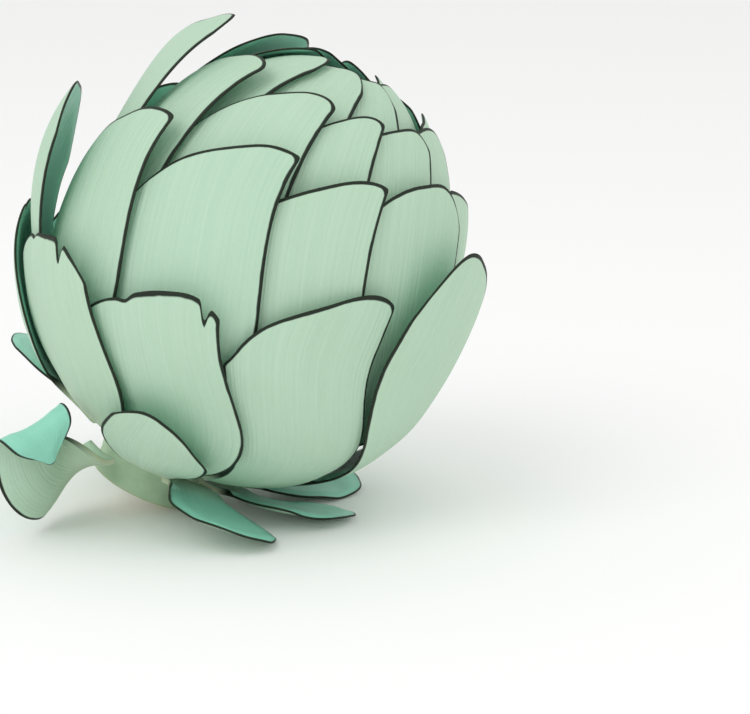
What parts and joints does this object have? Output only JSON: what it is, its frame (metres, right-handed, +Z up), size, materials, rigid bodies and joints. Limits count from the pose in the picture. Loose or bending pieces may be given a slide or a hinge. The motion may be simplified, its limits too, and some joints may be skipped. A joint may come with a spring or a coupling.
{
  "type": "artichoke",
  "caption": "Globe artichoke bud with broad blunt overlapping bracts, some standing open, lying tilted on its basal bracts and trimmed stem.",
  "frame": {"origin": "middle of the footprint, on the table top that the artichoke rests on", "axes": "+Z up from the table; the bud's own axis leans 27 degrees from +Z towards +X; -Y is the side that the picture shows"},
  "size_m": [0.109, 0.1012, 0.1113],
  "materials": {
    "bract_green": "satin, waxy bloom",
    "inner_bract_green": "satin",
    "stem_green": "satin, ribbed",
    "choke_down": "matte, hairy"
  },
  "bodies": {
    "root": {"base_bract_1": "bract_green", "base_bract_2": "bract_green", "base_bract_3": "bract_green", "base_bract_4": "bract_green", "base_bract_5": "bract_green", "base_bract_6": "bract_green", "base_bract_7": "bract_green", "choke": "choke_down", "crown_bract_1": "bract_green", "crown_bract_2": "bract_green", "crown_bract_3": "bract_green", "crown_bract_4": "bract_green", "crown_bract_5": "bract_green", "crown_bract_6": "bract_green", "crown_bract_7": "bract_green", "crown_bract_8": "bract_green", "curled_bract_1": "bract_green", "heart_and_stem": "stem_green", "heart_bract_1": "inner_bract_green", "heart_bract_2": "inner_bract_green", "heart_bract_3": "inner_bract_green", "heart_bract_4": "inner_bract_green", "inner_bract_1": "bract_green", "inner_bract_2": "bract_green", "inner_bract_3": "bract_green", "inner_bract_4": "bract_green", "inner_bract_5": "bract_green", "inner_bract_6": "bract_green", "lower_bract_1": "bract_green", "lower_bract_2": "bract_green", "lower_bract_3": "bract_green", "lower_bract_4": "bract_green", "lower_bract_5": "bract_green", "lower_bract_6": "bract_green", "lower_bract_7": "bract_green", "lower_bract_8": "bract_green", "lower_bract_9": "bract_green", "middle_bract_1": "bract_green", "middle_bract_10": "bract_green", "middle_bract_2": "bract_green", "middle_bract_3": "bract_green", "middle_bract_4": "bract_green", "middle_bract_5": "bract_green", "middle_bract_6": "bract_green", "middle_bract_7": "bract_green", "middle_bract_8": "bract_green", "middle_bract_9": "bract_green", "upper_bract_1": "bract_green", "upper_bract_10": "bract_green", "upper_bract_11": "bract_green", "upper_bract_2": "bract_green", "upper_bract_3": "bract_green", "upper_bract_4": "bract_green", "upper_bract_5": "bract_green", "upper_bract_6": "bract_green", "upper_bract_7": "bract_green", "upper_bract_8": "bract_green", "upper_bract_9": "bract_green"}
  },
  "joints": []
}
